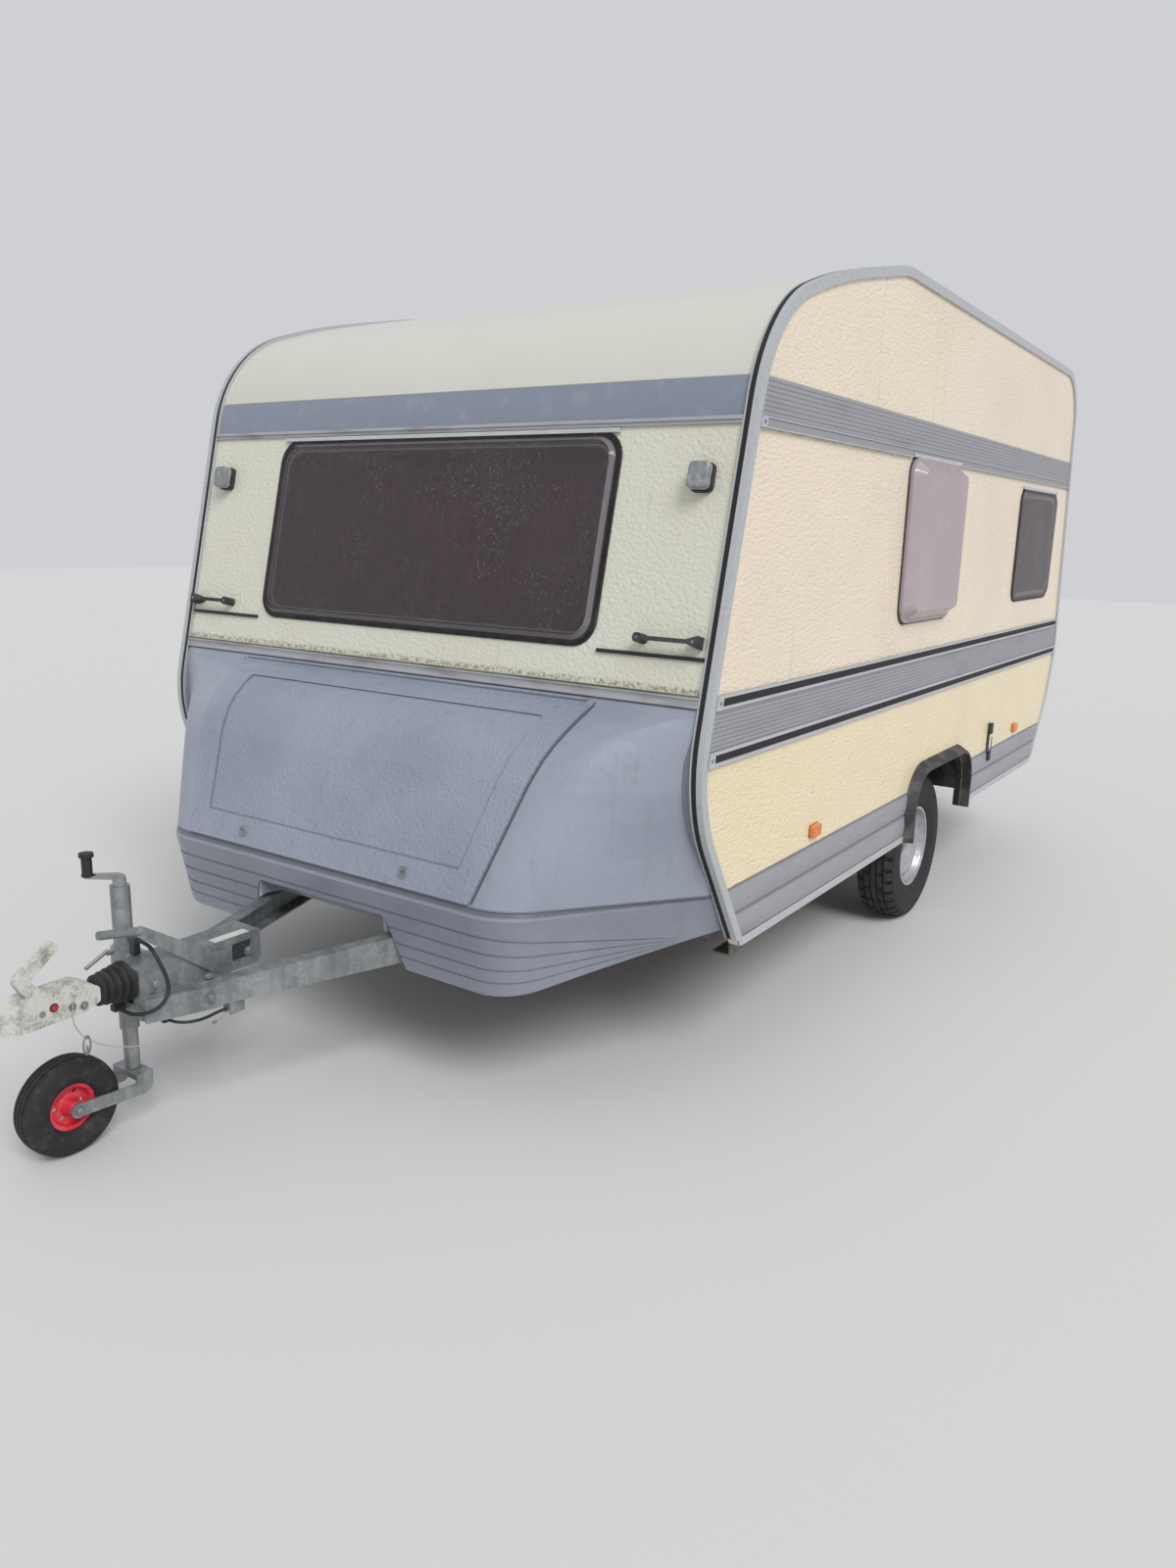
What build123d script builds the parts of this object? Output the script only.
# A single-axle touring caravan, standing on its two road wheels and its jockey wheel.
# Millimetres, +Z up, forward is -Y, the caravan's left side is +X. Lengths along the body are
# measured from a mark just behind the side wall's lowest front corner, and place() moves them to the
# part's frame, whose origin is on the ground under the middle of the whole caravan.
import os
from math import atan2, degrees, hypot, radians, tan

from build123d import *

os.makedirs("parts", exist_ok=True)

# Clearances
seat_gap = 0.3
moving_gap = 6.0
running_gap = 0.05

# Body shell
half_width = 1078.0
side_wall_thickness = 30.0
end_wall_thickness = 30.0
skirt_bottom_z = 428.0
floor_bottom_z = 505.0
floor_thickness = 40.0
roof_z = 2439.0
front_foot_y = -73.0
belly_front_y = -384.0
belly_z = 911.0
shoulder_y = -92.0
shoulder_drop = 262.0
brow_y = 331.0
brow_drop = 112.0
peak_y = 872.0
roof_rear_y = 3519.0
roof_rear_drop = 18.5
tail_y = 3700.0
tail_z = 1000.0
low_tail_y = 3620.0
low_tail_z = 760.0
rear_foot_y = 3385.0
foot_radius = 20.0
belly_radius = 424.0
shoulder_radius = 440.0
brow_radius = 2900.0
peak_radius = 522.0
roof_rear_radius = 270.0
tail_radius = 250.0
low_tail_radius = 200.0

# Joints of the shell and trim lines round the body
gutter_z = 1888.0
rear_split_drop = 330.0
rail_width = 20.0
rail_height = 10.0
rail_thickness = 8.0
rail_groove_depth = 2.5
rail_groove_width = 16.0
rail_groove_inset = 4.0
upper_ribs_z = (1900.0, 2001.0)
middle_ribs_z = (1041.0, 1150.0)
lower_waves_z = (455.0, 629.0)
channel_trims_z = ((1871.0, 1900.0), (1150.0, 1188.0), (1000.0, 1041.0))
rib_thickness = 4.0
wave_thickness = 7.0
hem_thickness = 7.0
channel_proud = 10.0
channel_groove = 22.0
channel_groove_depth = 3.0
cap_length = 30.0
cap_proud = 12.0
nose_trim_z = 1169.0
drip_strip_z = 1278.0
drip_strip_x = (705.0, 1041.0)

# Windows: size, corner radius, place of the middle, thickness of the flange and of the whole pane
front_window = {"width": 1370.0, "height": 590.0, "radius": 70.0, "z": 1575.0, "base": 9.0, "proud": 24.0}
rear_window = {"width": 1300.0, "height": 520.0, "radius": 60.0, "z": 1590.0, "base": 8.0, "proud": 20.0}
bubble_window = {"width": 578.0, "height": 573.0, "radius": 60.0, "y": 1347.0, "z": 1587.0, "base": 14.0,
                 "proud": 52.0}
rear_left_window = {"width": 715.0, "height": 509.0, "radius": 60.0, "y": 2982.0, "z": 1576.0, "base": 7.0,
                    "proud": 14.0}
window_overlap = 34.0
pane_thickness = 6.0
pane_flange = 10.0
pane_taper = 40.0
frame_ring_width = 12.0
frame_depth = 24.0
hinge_strip_height = 12.0
hinge_strip_proud = 11.0
curtain_thickness = 8.0
curtain_overlap = 26.0

# Entrance door on the right side
door_front_y = 2290.0
door_rear_y = 2870.0
door_bottom_z = 575.0
door_top_z = 2140.0
door_corner_radius = 60.0
door_pin_stand_off = 12.0
door_pin_radius = 4.0
door_knuckle_radius = 7.5
door_knuckle_inset = (145.0, 70.0)
door_knuckle_half = 18.0
door_leaf_half = 36.0
door_leaf_width = 32.0
door_leaf_thickness = 4.0
door_window_width = 330.0
door_window_height = 520.0
door_window_z = 1560.0
door_handle_z = (1215.0, 1320.0)

# Wheel arches
arch_front_y = 1371.0
arch_rear_y = 2115.5
arch_top_z = 696.0
arch_radius = 147.0
arch_trim_width = 34.0
arch_trim_lip = 12.0
arch_trim_proud = 40.0
wheel_box_depth = 262.0
wheel_box_wall = 10.0
wheel_box_height = 30.0

# Road wheels and axle
wheel_y = 1743.0
wheel_radius = 310.0
tyre_width = 165.0
tyre_centre_x = 940.0
rim_radius = 172.0
rim_width = 130.0
rim_slots = 16
rim_slot_radius = 8.0
stub_radius = 17.0
drum_radius = 115.0
drum_width = 60.0
axle_half = 745.0
axle_offset_y = -150.0
axle_height = 75.0
axle_size = 80.0
axle_wall = 6.0
arm_thickness = 26.0
arm_width = 90.0

# Chassis
drawbar_front_y = -1334.0
drawbar_front_x = 20.0
drawbar_nose_y = -700.0
drawbar_nose_x = 236.0
drawbar_rear_x = 640.0
beam_bottom_z = 370.0
beam_front_height = 55.0
beam_nose_height = 80.0
beam_width = 45.0
beam_wall = 5.0
beam_floor_drop = 15.0
side_member_rear_y = 3300.0
front_outrigger_y = -20.0
steady_outrigger_front_y = 470.0
steady_outrigger_rear_y = 2880.0
outrigger_size = 50.0
outrigger_half_width = 990.0
corner_bracket_x = (985.0, 1045.0)
corner_bracket_y = (-60.0, 40.0)
corner_bracket_bottom_z = 385.0

# Nose moulding, with the gas locker's lid in it, and its skirt
nose_wall = 6.0
nose_side_x = 1046.0
nose_seam_z = 612.0
nose_flange_z = 1118.0
nose_top_z = 1150.0
lid_top_half_width = 727.0
lid_bottom_half_width = 584.0
lid_bottom_z = 620.0
lid_top_z = 1143.0
lid_thickness = 4.0
lid_frame_thickness = 8.0
lid_lap = 18.0
lid_hinge_y = -342.5
lid_hinge_z = 1145.5
lid_hinge_radius = 5.0
lid_panel_bottom = (523.0, 700.0)
lid_panel_top = (610.0, 1098.0)
lid_lock_x = 338.0
lid_lock_z = 657.0
lid_lock_radius = 17.0
fan_y = -170.0
fan_z = 468.0
skirt_corner_y = -667.0
skirt_bottom_front_z = 358.0
skirt_grooves_z = (531.0, 485.0, 440.0, 400.0)
skirt_groove_half = 3.0
skirt_groove_depth = 3.0
groove_end_y = -235.0
cutout_top_z = 518.0
cutout_top_half_width = 268.0
cutout_bottom_half_width = 330.0
cutout_radius = 26.0
recess_rear_y = -610.0
recess_rear_z = 462.0

# Coupling and overrun device
coupling_z = 468.0
coupling_tip_y = -1660.0
coupling_rear_y = -1426.0
coupling_half_width = 31.0
coupling_bottom_z = 436.0
coupling_top_z = 515.0
coupling_wall = 4.0
ball_radius = 25.5
ball_socket_length = 26.0
ball_offset = 40.0
handle_half_width = 13.0
bellows_front_radius = 38.0
bellows_rear_radius = 54.0
bellows_fold_depth = 11.0
bellows_folds = 5
draw_tube_radius = 18.0
draw_tube_grip = 50.0
housing_rear_y = -957.0
housing_half_width = 50.0
housing_wall = 5.0
housing_bottom_z = 412.0
housing_top_z = 505.0
gusset_rear_y = -1133.0
gusset_reach = 28.0
gusset_thickness = 5.0
side_plate_rear_y = -1155.0
side_plate_thickness = 5.0
lever_thickness = 10.0
lever_grip_radius = 11.0

# Jockey wheel
jockey_x = -126.0
jockey_y = -1256.0
jockey_outer_radius = 25.0
jockey_inner_radius = 20.0
jockey_outer_z = (275.0, 672.0)
jockey_inner_z = (160.0, 575.0)
jockey_tube_wall = 4.0
jockey_trail = 189.0
jockey_tyre_radius = 130.0
jockey_tyre_width = 82.0
jockey_rim_radius = 62.0
jockey_spindle_radius = 8.0
jockey_pin_radius = 10.0
clamp_z = (456.0, 506.0)
clamp_wall = 9.0
fork_plate = 6.0
fork_side_gap = 7.0

# Corner steadies
steady_length = 470.0
steady_x = 900.0
steady_width = 50.0
steady_pivot_drop = 22.0
steady_pin_radius = 7.0
steady_wall = 4.0
steady_foot_half = 45.0

# Lamps and fittings
position_lamp = {"x": 958.0, "z": 1740.0, "width": 66.0, "height": 84.0, "proud": 46.0}
rear_lamp = {"x": 850.0, "z": 1130.0, "width": 230.0, "height": 110.0, "proud": 40.0}
marker_y = (426.0, 2968.0)
marker_z = 675.0
marker_size = (66.0, 40.0)
handle_z = 1318.0
handle_x = (835.0, 1031.0)
handle_stand_off = 28.0
handle_bar = 11.0
hook_y = 2492.0
hook_z = (581.0, 758.0)
hook_proud = 18.0

# Roof fittings
roof_light_y = 1950.0
roof_light_size = 400.0
roof_light_rim = 30.0
roof_light_frame_height = 22.0
roof_light_lid_top = 70.0
vent_x = 870.0
vent_y = 2080.0
vent_foot_radius = 40.0
vent_cap_radius = 62.0

wall_inner_x = half_width - side_wall_thickness
floor_top_z = floor_bottom_z + floor_thickness
shoulder_z = roof_z - shoulder_drop
roof_rear_z = roof_z - roof_rear_drop
rear_split_z = roof_z - rear_split_drop
axle_y = wheel_y + axle_offset_y
axle_z = wheel_radius + axle_height


def wall_plane(low, high, z, facing):
    # the outer face of an end wall through two (y, z) corners, at a height: local y runs up the wall
    run = high[0] - low[0]
    rise = high[1] - low[1]
    length = hypot(rise, run)
    y = low[0] + run * (z - low[1]) / rise
    outwards = (0, facing * rise / length, -facing * run / length)
    return Plane(origin=(0, y, z), x_dir=(-facing, 0, 0), z_dir=outwards)


def front_plane(z):
    return wall_plane((belly_front_y, belly_z), (shoulder_y, shoulder_z), z, -1)


def rear_plane(z):
    return wall_plane((tail_y, tail_z), (roof_rear_y, roof_rear_z), z, 1)


# The rear lamps are the rearmost pieces, and so they set the middle of the whole length
rear_lamp_plane = rear_plane(rear_lamp["z"])
rear_reach_y = (rear_lamp_plane.origin.Y + rear_lamp["proud"] * rear_lamp_plane.z_dir.Y
                + rear_lamp["height"] / 2 * abs(rear_lamp_plane.y_dir.Y))
body_shift = -(coupling_tip_y + rear_reach_y) / 2


def place(shape):
    return Pos(0, body_shift, 0) * shape


def save(node, shape):
    moved = place(shape)
    moved.label = node
    export_step(moved, f"parts/{node}.step")


def block(x_range, y_range, z_range):
    size = [high - low for low, high in (x_range, y_range, z_range)]
    middle = [(high + low) / 2 for low, high in (x_range, y_range, z_range)]
    return Pos(*middle) * Box(*size)


def mirrored(shape):
    return mirror(shape, about=Plane.YZ)


def outline(corners):
    # a closed face from a table of (across, up, corner radius)
    points = [(a, b) for a, b, radius in corners]
    radii = [radius for a, b, radius in corners]
    return make_face(FilletPolyline(*points, radius=radii, close=True))


def grown(face, amount):
    return offset(face, amount=amount, kind=Kind.INTERSECTION) if amount else face


def across(sketch, x_range):
    # a side-view sketch, (y, z), drawn out over a range of x
    return extrude(Plane.YZ.offset(x_range[0]) * sketch, amount=x_range[1] - x_range[0])


def upwards(sketch, z_range):
    # a plan-view sketch, (x, y), drawn out over a range of z
    return extrude(Plane.XY.offset(z_range[0]) * sketch, amount=z_range[1] - z_range[0])


def through_front(sketch):
    # a front-view sketch, (x, z), drawn out along y through the nose
    plane = Plane(origin=(0, 100, 0), x_dir=(1, 0, 0), z_dir=(0, -1, 0))
    return extrude(plane * sketch, amount=1100)


def rod(start, end, radius):
    axis = Vector(*end) - Vector(*start)
    seat = Plane(origin=start, z_dir=axis)
    return extrude(seat * Circle(radius), amount=axis.length)


def on_plane(plane, sketch, low, high):
    return extrude(plane.offset(low) * sketch, amount=high - low)


def side_plane(y, z, side):
    # side is 1 for the left wall and -1 for the right one
    return Plane(origin=(side * half_width, y, z), x_dir=(0, side, 0), z_dir=(side, 0, 0))


# The side view of the body
def side_outline(grow=0.0):
    return grown(outline([
        (front_foot_y, skirt_bottom_z, foot_radius),
        (belly_front_y, belly_z, belly_radius),
        (shoulder_y, shoulder_z, shoulder_radius),
        (brow_y, roof_z - brow_drop, brow_radius),
        (peak_y, roof_z, peak_radius),
        (roof_rear_y, roof_rear_z, roof_rear_radius),
        (tail_y, tail_z, tail_radius),
        (low_tail_y, low_tail_z, low_tail_radius),
        (rear_foot_y, skirt_bottom_z, foot_radius),
    ]), grow)


# Windows
def rounded(width, height, radius, inset):
    return RectangleRounded(width - 2 * inset, height - 2 * inset, max(radius - inset / 2, 12))


def window_face(spec, inset):
    return rounded(spec["width"], spec["height"], spec["radius"], inset)


def window_hole(spec, plane, reach):
    return on_plane(plane, window_face(spec, window_overlap), -reach, reach)


def window_pane(spec, plane):
    # a sheet of acrylic with a flat flange, a bulge with sloping flanks and a hollow back
    rise = spec["proud"] - spec["base"]
    rim = pane_flange + rise * tan(radians(pane_taper)) + pane_thickness
    pane = on_plane(plane, window_face(spec, 0), seat_gap, spec["base"])
    pane += extrude(plane.offset(spec["base"]) * window_face(spec, pane_flange), amount=rise, taper=pane_taper)
    pane -= on_plane(plane, window_face(spec, rim), 0, spec["proud"] - pane_thickness)
    return pane


def window_ring(spec, plane):
    # the rubber frame in the wall's cut-out, and the hinge strip over the pane
    outer = window_overlap + seat_gap
    ring = window_face(spec, outer) - window_face(spec, outer + frame_ring_width)
    strip_up = spec["height"] / 2 + seat_gap + hinge_strip_height / 2
    strip = Pos(0, strip_up) * Rectangle(spec["width"] - 2 * pane_flange, hinge_strip_height)
    return [on_plane(plane, ring, -frame_depth, -seat_gap), on_plane(plane, strip, seat_gap, hinge_strip_proud)]


def window_curtain(spec, plane, wall):
    back = -wall - seat_gap
    inset = window_overlap - curtain_overlap
    sheet = Rectangle(spec["width"] - 2 * inset, spec["height"] - 2 * inset)
    return on_plane(plane, sheet, back - curtain_thickness, back)


windows = [
    (front_window, front_plane(front_window["z"]), end_wall_thickness),
    (rear_window, rear_plane(rear_window["z"]), end_wall_thickness),
    (bubble_window, side_plane(bubble_window["y"], bubble_window["z"], 1), side_wall_thickness),
    (bubble_window, side_plane(bubble_window["y"], bubble_window["z"], -1), side_wall_thickness),
    (rear_left_window, side_plane(rear_left_window["y"], rear_left_window["z"], 1), side_wall_thickness),
]
panes = [window_pane(spec, plane) for spec, plane, wall in windows]
holes = [window_hole(spec, plane, 2 * wall) for spec, plane, wall in windows]
rings = [piece for spec, plane, wall in windows for piece in window_ring(spec, plane)]
curtains = [window_curtain(spec, plane, wall) for spec, plane, wall in windows]
save("window_front", panes[0])
save("window_rear", panes[1])
save("windows_bubble", Compound([panes[2], panes[3]]))
save("window_rear_left", panes[4])
save("window_frames", Compound(rings))
save("curtains", Compound(curtains))


# Outlines of the wheel arch and of the door
def arch_outline(grow=0.0):
    low = skirt_bottom_z - 60.0
    return outline([
        (arch_front_y - grow, low, 0),
        (arch_front_y - grow, arch_top_z + grow, arch_radius + grow),
        (arch_rear_y + grow, arch_top_z + grow, arch_radius + grow),
        (arch_rear_y + grow, low, 0),
    ])


door_middle_y = (door_front_y + door_rear_y) / 2
door_middle_z = (door_bottom_z + door_top_z) / 2
door_pin_x = -half_width - door_pin_stand_off
door_pin_y = door_front_y - moving_gap / 2
door_knuckles_z = (door_bottom_z + door_knuckle_inset[0], door_middle_z, door_top_z - door_knuckle_inset[1])


def door_outline(grow=0.0):
    width = door_rear_y - door_front_y + 2 * grow
    height = door_top_z - door_bottom_z + 2 * grow
    return Pos(door_middle_y, door_middle_z) * RectangleRounded(width, height, door_corner_radius + grow)


# Side walls
left_range = (wall_inner_x, half_width)
right_range = (-half_width, -wall_inner_x)
both_sides = (-half_width - 100, half_width + 100)
arch_cut = across(arch_outline(), both_sides)
wall_left = across(side_outline(), left_range) - arch_cut - holes[2] - holes[4]
wall_right = across(side_outline(), right_range) - arch_cut - holes[3]
wall_right -= across(door_outline(moving_gap), (-half_width - 5, -wall_inner_x + 5))


def hinge_leaf(leaf_y, z_ranges):
    # a leaf on the right side's face, with its knuckles round the pin
    leaf = block((-half_width - door_leaf_thickness, -half_width), leaf_y, (z_ranges[0][0], z_ranges[-1][1]))
    nearest = leaf_y[0] + door_leaf_thickness if leaf_y[0] > door_pin_y else leaf_y[1] - door_leaf_thickness
    reach_y = sorted((door_pin_y, nearest))
    for low, high in z_ranges:
        leaf += block((door_pin_x, -half_width), reach_y, (low, high))
        leaf += rod((door_pin_x, door_pin_y, low), (door_pin_x, door_pin_y, high), door_knuckle_radius)
    return leaf


leaf_offset = door_knuckle_radius + 1.5
for height in door_knuckles_z:
    gap = door_knuckle_half + 2
    ends = ((height - door_leaf_half, height - gap), (height + gap, height + door_leaf_half))
    wall_right += hinge_leaf((door_pin_y - leaf_offset - door_leaf_width, door_pin_y - leaf_offset), ends)
    wall_right += rod((door_pin_x, door_pin_y, height - door_leaf_half),
                      (door_pin_x, door_pin_y, height + door_leaf_half), door_pin_radius)
save("side_wall_left", wall_left)
save("side_wall_right", wall_right)

# End walls and roof: one thickness of the outline, split at the gutter and above the rear window
end_range = (-wall_inner_x + seat_gap, wall_inner_x - seat_gap)
shell = across(side_outline() - side_outline(-end_wall_thickness), end_range)
wide = (-half_width, half_width)
before_nose_y = belly_front_y - 200
behind_tail_y = tail_y + 200
roof_middle_y = (peak_y + roof_rear_y) / 2
above_roof_z = roof_z + 100
front_zone = block(wide, (before_nose_y, brow_y), (floor_bottom_z, gutter_z))
rear_zone = block(wide, (roof_middle_y, behind_tail_y), (floor_bottom_z, rear_split_z))
roof_zone = block(wide, (before_nose_y, roof_middle_y), (gutter_z + seat_gap, above_roof_z))
roof_zone += block(wide, (roof_middle_y, behind_tail_y), (rear_split_z + seat_gap, above_roof_z))
light_half = roof_light_size / 2
roof_light_hole = block((-light_half, light_half), (roof_light_y - light_half, roof_light_y + light_half),
                        (roof_z - 200, above_roof_z))
save("front_wall", (shell & front_zone) - holes[0])
save("rear_wall", (shell & rear_zone) - holes[1])
save("roof_panel", (shell & roof_zone) - roof_light_hole)

# Floor, cut out over the wheels
box_inner_x = wall_inner_x - wheel_box_depth
box_range_y = (arch_front_y - wheel_box_wall, arch_rear_y + wheel_box_wall)
floor = across(side_outline(-end_wall_thickness - seat_gap), end_range)
floor &= block(wide, (before_nose_y, behind_tail_y), (floor_bottom_z, floor_top_z))
for side in (1, -1):
    cut_x = sorted((side * (box_inner_x - wheel_box_wall - seat_gap), side * (half_width + 10)))
    cut_y = (box_range_y[0] - seat_gap, box_range_y[1] + seat_gap)
    floor -= block(cut_x, cut_y, (floor_bottom_z - 5, floor_top_z + 5))
save("floor_panel", floor)

# Wheel boxes: five-sided housings over the road wheels, open below and towards the wheel arch
box_top_z = arch_top_z + wheel_box_height
wheel_box = block((box_inner_x - wheel_box_wall, wall_inner_x - seat_gap), box_range_y,
                  (floor_bottom_z, box_top_z))
wheel_box -= block((box_inner_x, wall_inner_x + 10), (arch_front_y, arch_rear_y),
                   (floor_bottom_z - 10, box_top_z - wheel_box_wall))
save("wheel_boxes", Compound([wheel_box, mirrored(wheel_box)]))

# Rubber trim round each wheel arch: a flared lip with a sloping outer side
flare = degrees(atan2(arch_trim_width - arch_trim_lip, arch_trim_proud))
arch_trim = extrude(Plane.YZ.offset(half_width + seat_gap) * arch_outline(arch_trim_width),
                    amount=arch_trim_proud - seat_gap, taper=flare)
arch_trim -= arch_cut
arch_trim -= block((0, 2 * half_width), (0, tail_y), (0, skirt_bottom_z))
save("arch_trims", Compound([arch_trim, mirrored(arch_trim)]))

# Edge rails: an awning rail along the side's whole edge above the hem, with a groove for its rubber insert
rail_x = half_width + rail_thickness
rail_zone = block(both_sides, (before_nose_y, behind_tail_y), (lower_waves_z[0], above_roof_z))
rail_rim = side_outline(rail_height)
rail_lip = across(rail_rim - side_outline(seat_gap), (wall_inner_x, rail_x))
rail_face = across(rail_rim - side_outline(-rail_width), (half_width + seat_gap, rail_x))
groove_x = (wall_inner_x + rail_groove_inset, wall_inner_x + rail_groove_inset + rail_groove_width)
rail_groove = across(side_outline(rail_height + 1) - side_outline(rail_height - rail_groove_depth), groove_x)
edge_rail = (rail_lip + rail_face - rail_groove) & rail_zone
save("edge_rail_left", edge_rail)
save("edge_rail_right", mirrored(edge_rail))


# Side bands: sections as (distance off the wall, height), run along the left side
def side_strip(points):
    plane = Plane(origin=(half_width + seat_gap, behind_tail_y, 0), x_dir=(1, 0, 0), z_dir=(0, -1, 0))
    return extrude(plane * make_face(Polyline(*points, close=True)), amount=behind_tail_y - before_nose_y)


def ribbed_strip(z_range, ribs, thickness, root, shares):
    # ribs of one shape: root is the thickness between them, shares are the crest's ends within a pitch
    z_low, z_high = z_range
    pitch = (z_high - z_low) / ribs
    points = [(0, z_low)]
    for index in range(ribs):
        foot = z_low + index * pitch
        points += [(root, foot), (thickness, foot + shares[0] * pitch), (thickness, foot + shares[1] * pitch)]
    points += [(root, z_high), (0, z_high)]
    return side_strip(points)


def channel_strip(z_range):
    # an aluminium channel with a groove for its black insert
    z_low, z_high = z_range
    middle = (z_low + z_high) / 2
    floor_x = channel_proud - channel_groove_depth
    low, high = middle - channel_groove / 2, middle + channel_groove / 2
    return side_strip([(0, z_low), (channel_proud, z_low), (channel_proud, low), (floor_x, low), (floor_x, high),
                       (channel_proud, high), (channel_proud, z_high), (0, z_high)])


strip_zone = across(side_outline(-rail_width - 1), (half_width - 5, half_width + 100))
cap_zone = strip_zone - Pos(0, cap_length, 0) * strip_zone
cap_zone += strip_zone - Pos(0, -cap_length, 0) * strip_zone
side_strips = ribbed_strip(upper_ribs_z, 8, rib_thickness, 2.5, (0.3, 0.8))
side_strips += ribbed_strip(middle_ribs_z, 9, rib_thickness, 2.5, (0.3, 0.8))
side_strips += ribbed_strip(lower_waves_z, 2, wave_thickness, 2.0, (0.35, 0.6))
for z_range in channel_trims_z:
    side_strips += channel_strip(z_range)
side_strips &= strip_zone
for z_low, z_high in channel_trims_z:
    cap = block((half_width + seat_gap, half_width + cap_proud), (before_nose_y, behind_tail_y), (z_low, z_high))
    side_strips += cap & cap_zone
hem = ribbed_strip((skirt_bottom_z + 1, lower_waves_z[0]), 3, hem_thickness, 4.0, (0.3, 0.7))
side_strips += hem & across(side_outline(-1), (half_width - 5, half_width + 100))
bands_left = side_strips - across(arch_outline(arch_trim_width + seat_gap), (half_width - 5, half_width + 100))
bubble_reach = bubble_window["width"] / 2 + 1
bubble_top_z = bubble_window["z"] + bubble_window["height"] / 2
bands_left -= block((half_width - 5, half_width + 100),
                    (bubble_window["y"] - bubble_reach, bubble_window["y"] + bubble_reach),
                    (bubble_window["z"], bubble_top_z + hinge_strip_height + 1))
save("bands_left", bands_left)
bands_right = mirrored(bands_left)
outside_right = (-half_width - 100, -half_width)
door_bands = bands_right & across(door_outline(-1), outside_right)
bands_right -= across(door_outline(2 * moving_gap), outside_right)
for height in door_knuckles_z:
    bands_right -= block(outside_right, (door_pin_y - leaf_offset - door_leaf_width - 1, door_front_y),
                         (height - door_leaf_half - 1, height + door_leaf_half + 1))
save("bands_right", bands_right)

# Trims across the front: (height of the middle, then pieces as offset up the wall, height, how far proud)
front_trims = []
for z, ridges in ((gutter_z, ((0, 20, 7), (4, 9, 13))),
                  (nose_trim_z, ((0, 34, 7), (11, 9, 13), (-11, 9, 12)))):
    profile = [on_plane(front_plane(z), Pos(0, up) * Rectangle(2 * end_range[1], height), seat_gap, proud)
               for up, height, proud in ridges]
    front_trims.append(profile[0].fuse(*profile[1:]))
drip_width = drip_strip_x[1] - drip_strip_x[0]
for side in (1, -1):
    middle = Pos(side * (drip_strip_x[0] + drip_strip_x[1]) / 2, 0)
    front_trims.append(on_plane(front_plane(drip_strip_z), middle * Rectangle(drip_width, 10), seat_gap, 7))
save("front_trims", Compound(front_trims))

# Entrance door with its bands, handle, hinge leaves and window
door = across(door_outline(), right_range)
door_window_plane = side_plane(door_middle_y, door_window_z, -1)
door -= on_plane(door_window_plane, rounded(door_window_width, door_window_height, 45, 20), -60, 60)
handle_y = door_rear_y - 70.0
handle_low, handle_high = door_handle_z
handle = block((-half_width - 26, -half_width), (handle_y - 30, handle_y + 30), door_handle_z)
handle -= block((-half_width - 18, -half_width - 4), (handle_y - 22, handle_y + 40),
                (handle_low + 20, handle_high - 20))
door += handle
door += Pos(seat_gap, 0, 0) * door_bands
for height in door_knuckles_z:
    leaf_y = (door_pin_y + leaf_offset, door_pin_y + leaf_offset + door_leaf_width)
    door += hinge_leaf(leaf_y, ((height - door_knuckle_half, height + door_knuckle_half),))
door -= rod((door_pin_x, door_pin_y, door_bottom_z), (door_pin_x, door_pin_y, door_top_z),
            door_pin_radius + running_gap)
save("door_panel", door)
door_pane = on_plane(door_window_plane, rounded(door_window_width, door_window_height, 45, 0), seat_gap, 8)
save("door_window", door_pane)

# Nose: level sections through the moulding and the skirt, from their front view's chamfered plan.
# Columns: y of the front, height, half width of the flat front, y at the side, corner radius.
nose_sections = [
    (-700.0, nose_seam_z, 693.0, -213.0, 190.0),
    (-600.0, 850.0, 758.0, -306.0, 190.0),
    (-566.0, 930.0, 775.0, -328.0, 180.0),
    (-544.0, 967.0, 784.0, -334.0, 166.0),
    (-521.0, 1001.0, 795.0, -338.0, 150.0),
    (-488.0, 1034.0, 816.0, -342.0, 130.0),
    (-450.0, 1063.0, 845.0, -345.0, 110.0),
    (-400.0, 1095.0, 915.0, -342.0, 60.0),
    (-345.0, 1127.0, 1000.0, -337.0, 8.0),
    (-335.0, nose_top_z, 1020.0, -332.0, 4.0),
]
skirt_sections = [
    (-697.0, nose_seam_z - seat_gap, 692.0, -196.0, 190.0),
    (-711.0, 590.0, 694.0, -180.0, 190.0),
    (-700.0, 531.0, 693.0, -134.0, 185.0),
    (-665.0, 345.0, 690.0, 10.0, 170.0),
]


def facing(sections, index):
    # the front face's direction at a section, as (y, z), from its neighbours
    below = sections[max(index - 1, 0)]
    above = sections[min(index + 1, len(sections) - 1)]
    run, rise = above[0] - below[0], above[1] - below[1]
    length = hypot(run, rise)
    return -abs(rise) / length, run / length if rise > 0 else -run / length


def moulded(sections, grow):
    # a loft through the sections, with every face moved outwards by grow
    faces = []
    for index, (front_y, z, corner_x, side_y, radius) in enumerate(sections):
        out_y, out_z = facing(sections, index)
        plan = outline([(-nose_side_x, 150, 0), (-nose_side_x, side_y, 6), (-corner_x, front_y, radius),
                        (corner_x, front_y, radius), (nose_side_x, side_y, 6), (nose_side_x, 150, 0)])
        faces.append(Pos(0, 0, z + grow * out_z) * grown(plan, grow * abs(out_y)))
    return loft(faces, ruled=True)


body_cut = across(side_outline(seat_gap), both_sides)
rail_cut = across(side_outline(rail_height + seat_gap), (wall_inner_x - seat_gap, half_width + 50))
body_cut = body_cut + rail_cut + mirrored(rail_cut)
all_y = (-1400, 400)


def within(shape, zone):
    # the share of a moulded shape that lies inside a zone
    return shape - (shape - zone)


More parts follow.
